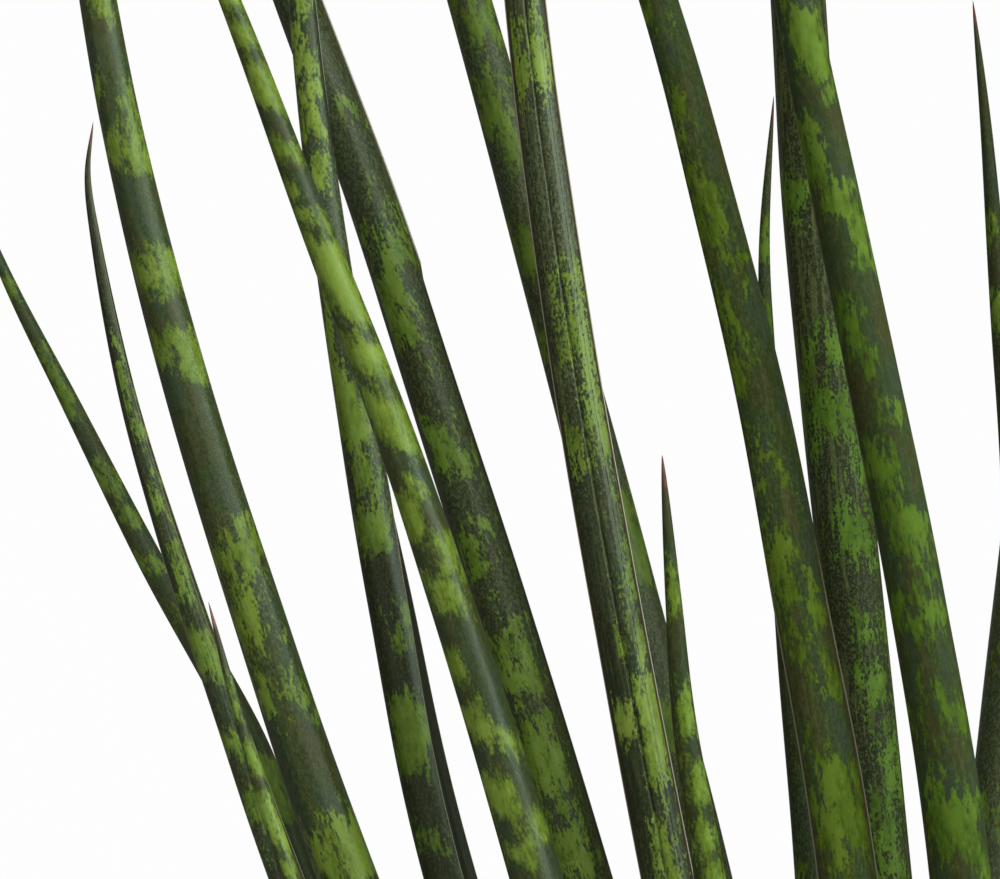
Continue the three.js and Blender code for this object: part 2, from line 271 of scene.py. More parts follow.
# Sizes in mm, angles in degrees. A value that changes along a leaf is a list of (height, value).
# thick: thickness at the foot. full: how long the leaf stays full. foot: where it stands.
# channel: compass direction that the channel faces. spread: half its width as an angle.
# lip: how far its margins stand up. creases: folds as (angle from the channel, depth, how pale).
# route: points on the centre line above the foot, the last of them the tip.
# How dark the channel is: painted shade, partly its own darker green. horny: how plain its margins
# are. margin: how broad they are.
# tone: how light the green is. How black the dark skin is: partly its own colour, partly painted
# shade where a leaf stands in shade. cool: how blue the green is.
# waxy: how glossy. grainy: how speckled. streaky: how threaded. jagged: how ragged the patches are.
# slant: how much the patches drop to the right.
# pale: light patches as (top, bottom, left, right), left and right from -1 to 1 across the leaf.
# The dark strips are painted shade where a leaf's flank or channel wall lies in shade, each the
# same with its strength added.
LEAVES = [
    dict(
        thick=11.8, foot=(-62, 16), channel=20,
        route=[
            (-143, 22, 323.5), (-152.4, 24, 350), (-173.5, 26.5, 388), (-190.4, 28.5, 421),
            (-202.9, 30, 445.5), (-215, 32, 474),
        ],
        horny=0.25, tone=0.31, black_and_shade=0.1, waxy=0.7, grainy=0.1, jagged=0.7,
        pale=[
            (446, 441, -0.8, 0.7), (433, 429, -0.8, 0.3), (427, 417, -0.8, 0.4),
            (407, 402, -0.8, 0.6), (399, 396, -0.4, 0.5), (389, 385, -0.8, 0.5),
            (378, 375, -0.5, 0.7), (348, 335, -1, 1),
        ],
    ),
    dict(
        thick=11.2, foot=(-56, -8), channel=-90, spread=80,
        creases=[(-20, 0.03, 0.1), (12, 0.03, 0.15), (30, 0.02, 0.25), (51, 0.01, 0.5)],
        route=[
            (-144.6, -2, 325), (-155.9, -2.5, 357), (-166.5, -3.5, 388.5), (-176, -4, 420.5),
            (-182.5, -5, 452.5), (-184.1, -5.3, 465.5), (-183, -5.5, 476),
        ],
        horny=[(395, 0.6), (430, 0)], tone=0.36, black_and_shade=[(380, 0.5), (400, 0.6), (430, 0.95)],
        waxy=0.7, grainy=0.3, streaky=[(375, 0.05), (395, 0.25)], jagged=[(375, 0.6), (395, 1)],
        shade_strips=[(462, 380, -1.1, -0.45, 0.7)],
        pale=[
            (431, 424, -0.3, 0.6), (420, 413, -0.7, 0.3), (407, 398, -0.9, 0.2),
            (391, 380, -1, 0.3), (375, 365, -1, 0.8), (355, 349, -1, 0.4), (344, 336, -0.9, 0.6),
            (331, 326, -0.6, 0.5),
        ],
    ),
    dict(
        thick=10, foot=(-62, -22), channel=60,
        route=[(-143, -26, 327), (-154, -27, 362), (-159, -27, 381)],
        horny=0.2, tone=0.55, waxy=0.7, grainy=0.1, jagged=0.5,
        pale=[(366, 358, -1, 0.3), (354, 347, -1, 1), (344, 332, -1, 1), (330, 326, -0.3, 0.6)],
    ),
    dict(
        thick=15.4, foot=(-46, 8), channel=60,
        route=[
            (-132.5, 4, 324.5), (-151.5, 3.5, 380.5), (-164, 3, 420.5), (-174.5, 2.5, 460.5),
            (-182.5, 2, 500.5), (-204, 0, 661),
        ],
        channel_dark_and_shade=0.8, horny=0.3, tone=0.5, black_and_shade=0, waxy=1.0,
        grainy=[(350, 0.25), (370, 0.4), (398, 0.4), (410, 0.1)], jagged=[(400, 0.9), (412, 0.55)],
        pale=[
            (502, 497, -0.2, 0.6), (486, 480, -1, -0.5), (485, 478, 0.3, 0.75),
            (477, 466, 0.1, 1.1), (475, 466, -1, -0.2), (451, 442.5, 0.1, 1.1),
            (449, 442.5, -1, -0.1), (435.5, 425, 0.1, 1.1), (434, 427, -1, 0),
            (397, 387, 0.2, 1.1), (392, 385, -0.9, -0.1), (381, 372, -0.5, 0.4),
            (379, 369, -1, -0.4), (365, 358, 0, 0.8), (366, 358, -1, -0.3), (338, 324, 0.05, 1.1),
            (334, 324, -1, -0.1),
        ],
    ),
    dict(
        thick=14.3, foot=(-38, -8),
        channel=[(324, -29), (352, -23), (385, -9), (402, 6), (500, 12)], creases=[(162, 0, 0.8)],
        route=[
            (-112, 0, 325), (-124, -0.5, 380.5), (-131, -1, 420.5), (-137, -1.5, 460.5),
            (-141.5, -2, 500.5), (-148, -3, 600),
        ],
        channel_dark_and_shade=1.0, horny=[(324, 0.15), (370, 0.2), (405, 0.5), (420, 0), (476, 0), (486, 0.8)],
        margin=0.7, tone=[(324, 0.06), (400, 0.2), (480, 0.62)], black_and_shade=[(400, 0.9), (440, 0.45)],
        waxy=0.9, grainy=[(388, 0.15), (400, 0.6), (425, 0.4), (460, 0.7), (474, 0.35)],
        jagged=0.75, shade_strips=[(504, 464, 0.72, 1.1, 0.9)],
        pale=[
            (502, 499, -1, 0.6), (496, 486, -1, -0.45), (493, 485, -0.2, 0.8),
            (483, 472, -1, 0.75), (470, 463, -0.6, 0.1), (441, 423, -1, -0.3), (424, 411, -1, 0.5),
            (410, 403, -0.5, 0.6), (399, 390, -0.9, 0.7), (381, 372, 0.1, 0.7),
            (362, 346, -0.95, 0.5), (335, 329, -0.8, 0.1),
        ],
    ),
    dict(
        thick=14.8, foot=(-34, -26), channel=70,
        route=[
            (-95, -24, 327), (-113, -27.5, 385.5), (-125, -29.5, 420.5), (-140, -31.5, 459.5),
            (-154.5, -34, 498), (-176, -37, 549),
        ],
        horny=0.4, tone=0.48, waxy=0.9, grainy=0.05, jagged=0.4, slant=0.35,
        pale=[
            (501, 496, -1, 1), (494, 489, -1, 0.9), (486, 477, -1, 1), (472, 466, -1, 0.8),
            (462, 459, -0.8, -0.1), (458, 454, -1, 0.7), (453, 436, -1, 1), (433, 424, -1, 1),
            (423, 420, -1, -0.3), (422, 411, -1, 1), (406, 402, -0.2, 0.3), (401, 391, -1, 0),
            (396, 387, 0, 1), (386, 378, -0.8, 0.6), (371, 364, -1, -0.3), (360, 353, -1, 0),
            (357, 351, 0.3, 0.9), (347, 338, -1, 0.2), (342, 336, 0.4, 0.9), (333, 329, -0.7, 0.2),
        ],
    ),
    dict(
        thick=12.2, full=3, foot=(-22, 14), channel=[(324, 50), (436, 50), (452, 22), (501, 25)],
        lip=[(444, 0.02), (447, 0.12)],
        route=[
            (-85, 16, 324), (-102, 16.5, 380), (-115, 17, 420.5), (-128.3, 17.5, 461.5),
            (-143.4, 18, 502), (-205, 22, 668),
        ],
        channel_dark_and_shade=0.6, horny=[(440, 0.35), (450, 1)], tone=0.32, black_and_shade=0.55, waxy=1.0, grainy=0.6,
        shade_strips=[(448, 322, 0.5, 0.8, 0.45), (448, 322, 0.82, 1.1, 1), (504, 322, -1.1, -0.84, 0.9)],
        pale=[
            (481, 477, 0.1, 0.5), (463, 448, 0.3, 0.8), (455, 440, -0.5, 0.3),
            (444, 431, -0.9, 0.3), (417, 405, -0.8, 0.6), (396, 390, 0.2, 0.5),
            (392, 384, -0.9, -0.2), (377, 362, 0.1, 0.6), (372, 361, -0.9, -0.2),
            (357, 340, -0.8, 0.6), (335, 323, -0.8, 0.7),
        ],
    ),
    dict(
        thick=14, full=2, foot=(-14, 30), channel=100,
        route=[
            (-60.5, 31, 322.5), (-75, 34.5, 379.5), (-85.8, 37, 421), (-96.8, 39.5, 462),
            (-108.3, 42, 503.5), (-160, 52, 682),
        ],
        horny=0.3, tone=0.1, black_and_shade=0.5, waxy=0.7, grainy=0.7,
        pale=[
            (503, 495, -0.8, 0.9), (489, 485, 0, 0.9), (487, 476, -0.8, 0.2),
            (479, 469, -0.3, 0.7), (457, 446, -1, 0.1), (436, 430, -1, -0.3), (404, 383, -1, 1),
            (360, 348, -1, 1),
        ],
    ),
    dict(
        thick=11.6, full=2.6, foot=(-24, -6), channel=-90, spread=70, lip=0.06,
        creases=[(-2, 0.1, 0), (-40, 0.02, 0.15), (34, 0.02, 0.3)],
        route=[
            (-68.5, 2, 325), (-79, 0.5, 380.5), (-86, 0, 420.5), (-92, -1, 460.5),
            (-97, -2, 500.5), (-112, -4, 690),
        ],
        horny=1.0, margin=1.2, black_and_shade=0.65, waxy=1.0,
        jagged=[(345, 1), (348, 0.6), (364, 0.6), (370, 1)],
        tone=[
            (324, 0.5), (345, 0.55), (350, 0.75), (366, 0.75), (372, 0.35), (415, 0.4), (470, 0.6),
        ],
        grainy=[
            (330, 0.5), (345, 0.1), (366, 0.1), (380, 0.5), (416, 0.4), (428, 1), (446, 1),
            (480, 0.9), (484, 0.2),
        ],
        streaky=[
            (345, 0.5), (348, 0.2), (364, 0.2), (372, 0.5), (420, 0.5), (430, 0.9), (446, 0.9),
            (455, 0.5),
        ],
        shade_strips=[
            (504, 322, -1.1, -0.8, 1), (478, 421, -1.1, -0.55, 0.68), (402, 363, -1.1, -0.2, 0.68),
            (349, 322, -1.1, -0.35, 0.68),
        ],
        pale=[
            (497, 484, 0, 0.9), (496, 481, -1, -0.35), (447, 425, 0, 1), (446, 428, -0.7, 0),
            (424, 411, 0.1, 1), (417, 406, -1, -0.2), (402, 390, 0.8, 1), (388, 380, 0.55, 0.95),
            (376, 371, 0.6, 1), (375, 370, -0.4, -0.1), (366, 345, 0.1, 1.1), (361, 351, -0.9, 0),
            (335, 323, -0.3, 0.7),
        ],
    ),
    dict(
        thick=12, full=1.5, foot=(-30, -50), channel=40,
        route=[(-62, -56, 329), (-67, -58, 359.5), (-69, -59, 382), (-71.2, -60, 409.8)],
        horny=0.0, tone=0.36, black_and_shade=0.4, waxy=0.4, grainy=0.1, jagged=0.5,
        pale=[
            (389, 379, -0.6, 1), (367, 356, -0.4, 0.8), (352.5, 343.5, -0.3, 1),
            (340.5, 334.5, -0.4, 1), (332.5, 326, -0.2, 1),
        ],
    ),
    dict(
        thick=15.2, foot=(-14, -24), channel=-90, spread=77, lip=0.05,
        route=[
            (-34.5, -34, 327.5), (-44, -38, 381.5), (-51.5, -40.5, 420.5), (-61, -43.5, 459),
            (-71.5, -46, 497), (-120, -58, 632),
        ],
        horny=[(375, 0.5), (395, 0)], margin=2.2, tone=0.1, black_and_shade=0, waxy=0.0, grainy=0.2,
        streaky=0.25, slant=0.9,
        pale=[
            (496, 492, -0.6, 0), (477, 466, -0.9, -0.3), (463, 444, -0.9, 0.5),
            (439, 428, -0.9, -0.2), (425, 419, -0.8, -0.2), (412, 406, -0.6, 0.1),
            (404, 399, -0.9, -0.4), (394, 377, -0.9, -0.1), (386, 379, 0.35, 0.9),
            (375, 366, -0.8, -0.2), (372, 366, 0.4, 0.9), (353, 338, -0.6, 0.9),
            (345, 336, 0.4, 1), (341, 327, -1, 0),
        ],
    ),
    dict(
        thick=10.3, foot=(-24, 60), channel=60,
        route=[
            (-36.5, 66, 320), (-41, 67.5, 370), (-45.5, 69.5, 434), (-46, 70.5, 455),
            (-44, 71.5, 485.5),
        ],
        horny=0.0, tone=0.05, black_and_shade=0.4, waxy=0.3, grainy=0.4,
        pale=[(460, 451, -0.2, 1), (442, 434, -0.2, 1)],
    ),
    dict(
        thick=13.2, full=4, foot=(-4, 2), channel=150,
        route=[
            (-25.5, 4, 324.5), (-32, 4.5, 388.5), (-35.5, 5, 420.5), (-39.5, 5.5, 461),
            (-42, 6, 501), (-54, 8, 695),
        ],
        horny=0.6, tone=0.05, black_and_shade=0.85, cool=0.6, waxy=0.3, grainy=0.5, streaky=0.6,
        pale=[
            (466, 458, -0.9, 0.1), (435, 428, 0.1, 0.6), (432, 427, -0.8, -0.5),
            (423, 411, -0.8, 0.5), (411, 405, 0.3, 0.8), (398, 390, -0.2, 0.7),
            (377, 372, 0.1, 0.7), (368, 358, 0.2, 0.6), (353, 341, 0.2, 0.7), (337, 326, 0, 0.7),
        ],
    ),
    dict(
        thick=14.9, full=1.5, foot=(4, -22), channel=50,
        route=[
            (-13, -40, 328), (-21.9, -46.5, 382), (-30.4, -51.5, 423.5), (-37.9, -55.5, 458.5),
            (-45.8, -60, 496), (-76, -80, 668),
        ],
        horny=0.3, tone=[(440, 0), (460, 0.12)], waxy=0.0, grainy=0.1, slant=0.5,
        pale=[
            (495, 481, -0.5, 0.9), (472, 460, -1, -0.1), (463, 455, -0.3, 0.9), (454, 445, 0.4, 1),
            (438, 426, -0.7, 0), (423, 416, 0.1, 0.7), (411, 401, -0.9, 0.1),
            (402, 392, -0.5, 0.8), (384, 378, 0, 0.7), (379, 374, -0.8, 0.1), (365, 359, 0.2, 0.9),
            (361, 354, -0.9, -0.5), (346, 332, -0.7, 0.7),
        ],
    ),
    dict(
        thick=12.4, foot=(20, 54), channel=80,
        route=[(7.5, 78, 404), (5, 81.5, 438), (2, 85.5, 481), (-0.5, 88, 507)],
        horny=0.0, tone=0.2, black_and_shade=0.5, waxy=0.2, grainy=0.2,
        pale=[(460, 454, -1, 1), (446, 436, -1, 1)],
    ),
    dict(
        thick=13, full=1.5, foot=(-6, 18), channel=60,
        route=[(-2, 24, 323), (1, 26, 355.5), (4.5, 27.5, 388), (34, 46, 640)],
        horny=0.2, tone=0.1, black_and_shade=0.6, waxy=0.5, grainy=0.5,
        pale=[(373, 367, -1, 1), (340, 334, -1, 1)],
    ),
    dict(thick=13, full=1.5, foot=(18, -40), channel=100, route=[(24, -80, 330), (32, -152, 600)]),
    dict(thick=12, foot=(36, -34), channel=130, route=[(54, -72, 330), (92, -130, 556)]),
    dict(thick=14, full=2.2, foot=(18, -6), channel=150, route=[(36, -24, 330), (62, -50, 688)]),
    dict(
        thick=13.5, full=1.8, foot=(34, -14), channel=165, route=[(70, -30, 330), (132, -64, 636)],
    ),
    dict(
        thick=12.5, foot=(52, -22), channel=160, route=[(98, -52, 320), (168, -92, 548)],
    ),
    dict(thick=13.6, full=1.6, foot=(50, 0), channel=180, route=[(102, -6, 325), (192, -16, 596)]),
    dict(thick=9.5, foot=(62, -6), channel=175, route=[(108, -16, 270), (148, -26, 392)]),
    dict(thick=14, full=2.6, foot=(20, 12), channel=190, route=[(50, 8, 330), (94, 6, 698)]),
    dict(thick=13, full=2, foot=(38, 14), channel=195, route=[(80, 24, 330), (158, 36, 652)]),
    dict(thick=12.2, full=1.4, foot=(58, 20), channel=205, route=[(112, 42, 320), (186, 72, 536)]),
    dict(thick=13.4, full=1.8, foot=(16, 30), channel=225, route=[(36, 48, 330), (72, 84, 666)]),
    dict(thick=12.8, full=1.5, foot=(34, 36), channel=230, route=[(66, 68, 330), (122, 122, 616)]),
    dict(thick=11.5, foot=(50, 46), channel=220, route=[(90, 86, 310), (136, 136, 484)]),
    dict(thick=12.6, full=1.5, foot=(13, 69), channel=260, route=[(28, 102, 330), (40, 166, 606)]),
    dict(thick=11.4, foot=(34, 56), channel=245, route=[(52, 112, 320), (74, 178, 508)]),
    dict(thick=10.5, foot=(4, -52), channel=95, route=[(14, -100, 290), (24, -136, 420)]),
]

LISTED_HEIGHTS = (322, 504)


def unit(vectors):
    """The vectors divided by their lengths."""
    return vectors / np.linalg.norm(vectors, axis=-1, keepdims=True)


def centre_line(points, shares):
    """Points and directions at these shares of the length of a centripetal Catmull-Rom curve, and
    that length. The time between two points is the square root of their distance. Each stretch is
    the cubic through its ends whose end slopes follow from the three nearest times, and the end
    points are mirrored for the outer slopes."""
    points = np.concatenate([[2 * points[0] - points[1]], points, [2 * points[-1] - points[-2]]])
    steps = np.diff(points, axis=0)
    times = np.sqrt(np.linalg.norm(steps, axis=1))[:, None]
    pace = steps / times
    before, here, after = times[:-2], times[1:-1], times[2:]
    slope_in = here * (pace[:-2] - (steps[:-2] + steps[1:-1]) / (before + here) + pace[1:-1])
    slope_out = here * (pace[1:-1] - (steps[1:-1] + steps[2:]) / (here + after) + pace[2:])
    p, q = points[1:-2, None], points[2:-1, None]
    m, n = slope_in[:, None], slope_out[:, None]
    s = np.linspace(0, 1, STEPS_A_STRETCH, endpoint=False)[None, :, None]
    curve = p * (2 * s**3 - 3 * s**2 + 1) + m * (s**3 - 2 * s**2 + s)
    curve = curve + q * (3 * s**2 - 2 * s**3) + n * (s**3 - s**2)
    curve = np.concatenate([curve.reshape(-1, 3), points[-2:-1]])
    run = np.concatenate([[0], np.cumsum(np.linalg.norm(np.diff(curve, axis=0), axis=1))])
    ways = unit(np.gradient(curve, run, axis=0))
    length = run[-1]
    at, way = (
        np.stack([np.interp(shares * length, run, v[:, k]) for k in range(3)], axis=1)
        for v in (curve, ways)
    )
    return at, unit(way), length


def ring_angles(spread, creases):
    """Angles round a leaf from the middle of its channel, close together over the channel, its lips
    and the creases."""
    channel = np.linspace(-spread, spread, 13)
    lips = spread + np.array([2.5, 5.0, 9.0])
    body = np.linspace(lips[-1], 360 - lips[-1], 33)[1:-1]
    folds = (creases[:, None] + CREASE_WIDTH * np.array([-1.6, -0.8, 0, 0.8, 1.6])).ravel()
    return np.unique(np.concatenate([channel, lips, body, 360 - lips[::-1], folds % 360]) % 360)


def at_heights(value, heights):
    """A leaf's value at each height: one number, or pairs of height and number with straight lines
    between."""
    pairs = np.atleast_2d(np.array(value if isinstance(value, list) else [(0, value)], float))
    return np.interp(heights, pairs[:, 0], pairs[:, 1])


def lattice_noise(u, v, rng):
    """Random values from -1 to 1, 64 along u and 5 a turn along v, blended by 3s^2 - 2s^3 between.
    They repeat every 64 in u and every time v grows by one turn of 1."""
    columns, turns = 64, 5
    values = rng.uniform(-1, 1, (columns, turns))
    row = v * turns
    i, j = np.floor(u).astype(int), np.floor(row).astype(int)
    s, t = u - i, row - j
    s, t = s * s * (3 - 2 * s), t * t * (3 - 2 * t)
    a, b, c, d = (values[(i + p) % columns, (j + q) % turns] for p in (0, 1) for q in (0, 1))
    return (1 - s) * ((1 - t) * a + t * b) + s * ((1 - t) * c + t * d)


def pale_depth(leaf, height, sideways, half_width, turn, rng):
    """How far each point lies inside the nearest light patch, in mm, below zero outside: the least
    of its distances to the patch's top, bottom, left and right. Outside the listed heights the
    patches are where two sizes of spots and one of full bands, all lattice noise, add up to more
    than 1.2. The depth stays low on a speckled leaf, so that specks show."""
    level = height + leaf.get("slant", 0.1) * sideways
    drawn = 5.5 * lattice_noise(level / 10.5, turn, rng) + 3.5 * lattice_noise(level / 5, turn, rng)
    drawn = drawn + 5 * lattice_noise(level / 9, 0.1 + 0 * turn, rng) - 1.2
    if "pale" not in leaf:
        return drawn
    low, high = LISTED_HEIGHTS
    drawn = np.minimum(drawn, np.maximum(low - level, level - high))
    top, bottom, left, right = np.array(leaf["pale"], float).T[:, :, None, None]
    along = np.minimum(top - level, level - bottom)
    across = np.minimum(sideways - left * half_width, right * half_width - sideways)
    depth = np.maximum(drawn, np.minimum(along, 1.5 * across + 0.6).max(axis=0))
    return np.minimum(depth, 9 - 7 * at_heights(leaf.get("grainy", 0.5), height) ** 2)


def in_shade_strips(leaf, height, share):
    """How deep each point lies in one of the leaf's dark strips of painted shade, from 0 to the
    strip's strength: it rises over 6 mm from the strip's ends and over 0.12 of the half width from
    its sides."""
    shade_strips = np.array(leaf.get("shade_strips", []), float).reshape(-1, 5)
    top, bottom, left, right, strength = shade_strips.T[:, :, None, None]
    from_ends = np.minimum(top - height, height - bottom) / 6
    from_sides = np.minimum(share - left, right - share) / 0.12
    inside = np.clip(np.minimum(from_ends, from_sides), 0, 1)
    return (strength * inside).max(axis=0, initial=0)


def make_leaf(number, leaf, rng):
    """Point = centre line + radius * shape * (channel way cos a + across sin a) at share t of the
    length and angle a. radius = thick/2 (1 - t^full)^0.65, a little wavy along the leaf;
    shape is 1 less the channel's rounded V, plus its lips, less a few shallow flutes and the
    creases, which run lengthwise. The skin reads its looks from values kept at every point."""
    t = 1 - (1 - np.linspace(0, 1, LEAF_STATIONS)[:-1]) ** STATION_CROWDING
    points = np.array([(*leaf["foot"], FOOT_Z / MM), *leaf["route"]], float)
    centre, along, length = centre_line(points, t)
    facing = np.radians(at_heights(leaf["channel"], centre[:, 2]))
    way = np.stack([np.cos(facing), np.sin(facing), 0 * facing], axis=-1)
    towards = unit(way - (along * way).sum(axis=1, keepdims=True) * along)
    across = np.cross(along, towards)

    spread = leaf.get("spread", CHANNEL_SPREAD)
    creases, crease_deep, crease_pale = np.array(leaf.get("creases", []), float).reshape(-1, 3).T
    degrees = ring_angles(spread, creases)
    angle = np.radians(degrees)[None, :]
    off_middle = np.abs((degrees + 180) % 360 - 180)[None, :]
    deep = (CHANNEL_AT_FOOT + (CHANNEL_AT_TIP - CHANNEL_AT_FOOT) * t)[:, None]
    deep = deep * CHANNEL_SPREAD / spread
    valley = np.clip(1 - off_middle / spread, 0, 1)
    lip = np.exp(-(((off_middle - spread) / LIP_WIDTH) ** 2))
    lip_height = at_heights(leaf.get("lip", LIP_HEIGHT), centre[:, 2])[:, None]
    shape = 1 - deep * (1 - (1 - valley) ** 1.6) + lip_height * lip - LIP_HEIGHT
    flute_at = rng.uniform(spread + 15, 345 - spread, FLUTES)[:, None, None]
    flute_deep = rng.uniform(0.004, 0.014, FLUTES)[:, None, None]
    flutes = flute_deep * np.exp(-((((degrees % 360) - flute_at) / FLUTE_WIDTH) ** 2))
    off_crease = (degrees - creases[:, None, None] + 180) % 360 - 180
    folds = crease_deep[:, None, None] * np.exp(-((off_crease / CREASE_WIDTH) ** 2))
    shape = shape - flutes.sum(axis=0) - folds.sum(axis=0)
    taper = np.maximum(0, 1 - t ** leaf.get("full", TAPER_FULLNESS)) ** TAPER_POWER
    radius = leaf["thick"] / 2 * LEAF_FIT * taper
    wave = 1 + 0.006 * np.sin(t * length / 23 + rng.uniform(0, 6)) + 0.004 * np.sin(t * length / 9)
    reach = (radius * wave)[:, None] * shape
    rings = (
        centre[:, None]
        + (reach * np.cos(angle))[..., None] * towards[:, None]
        + (reach * np.sin(angle))[..., None] * across[:, None]
    )
    poles = np.array([points[0], points[-1]]) * MM
    piece = closed_skins(f"spear_{number:02d}", rings[None] * MM, poles[:1], poles[1:])

    distance = (t * length)[:, None] + 0 * angle
    start = rng.uniform(0, 4000)
    straight = np.stack([reach * np.cos(angle), reach * np.sin(angle), distance + start], axis=-1)
    sideways = rings[..., 0] - centre[:, None, 0]
    half_width = np.abs(sideways).max(axis=1, keepdims=True)
    # Dark strips of painted shade, where a flank or channel wall lies in shade.
    shade_strips = in_shade_strips(leaf, rings[..., 2], sideways / half_width)
    in_channel = np.clip((spread - off_middle) / 5, 0, 1) * (spread == CHANNEL_SPREAD)
    from_crease = np.radians(np.abs(off_crease)) * radius[:, None] / PALE_LINE
    pale_line = crease_pale[:, None, None] * np.clip(1 - from_crease, 0, 1)
    height = centre[:, 2:] + 0 * angle
    looks = {
        "tone": leaf.get("tone", 0.45 * rng.uniform()),
        "black_and_shade": leaf.get("black_and_shade", 0.25),
        "horny": leaf.get("horny", rng.uniform(0.1, 0.8)),
        "streaky": leaf.get("streaky", 0.1),
        "waxy": leaf.get("waxy", rng.uniform(0.4, 1)),
        "jagged": leaf.get("jagged", 1.0),
        "cool": leaf.get("cool", rng.uniform(0, 0.3)),
        "grainy": leaf.get("grainy", rng.uniform(0.2, 0.8)),
    }
    from_margin = np.radians(off_middle - spread) * radius[:, None]
    turn = degrees[None, :] / 360
    values = {key: at_heights(value, height) for key, value in looks.items()}
    values |= {
        "pale_depth": pale_depth(leaf, rings[..., 2], sideways, half_width, turn, rng),
        "from_margin": from_margin / leaf.get("margin", 1),
        "from_tip": length - distance,
        # The channel's darkening is painted shade, partly its own darker green.
        "shaded": np.maximum(in_channel * leaf.get("channel_dark_and_shade", 0.28), shade_strips),
        "pale_line": pale_line.max(axis=0, initial=0) + 0 * distance,
    }
    for key, value in values.items():
        layer = piece.data.attributes.new(key, "FLOAT", "POINT")
        at_poles = [value[0].mean(), value[-1].mean()]
        whole = np.concatenate([value.ravel(), at_poles])
        layer.data.foreach_set("value", whole.astype(np.float32))
    layer = piece.data.attributes.new("straight_place", "FLOAT_VECTOR", "POINT")
    ends = np.array([[0, 0, start], [0, 0, start + length]])
    whole = np.concatenate([straight.reshape(-1, 3), ends])
    layer.data.foreach_set("vector", whole.astype(np.float32).ravel())
    return piece, centre, radius


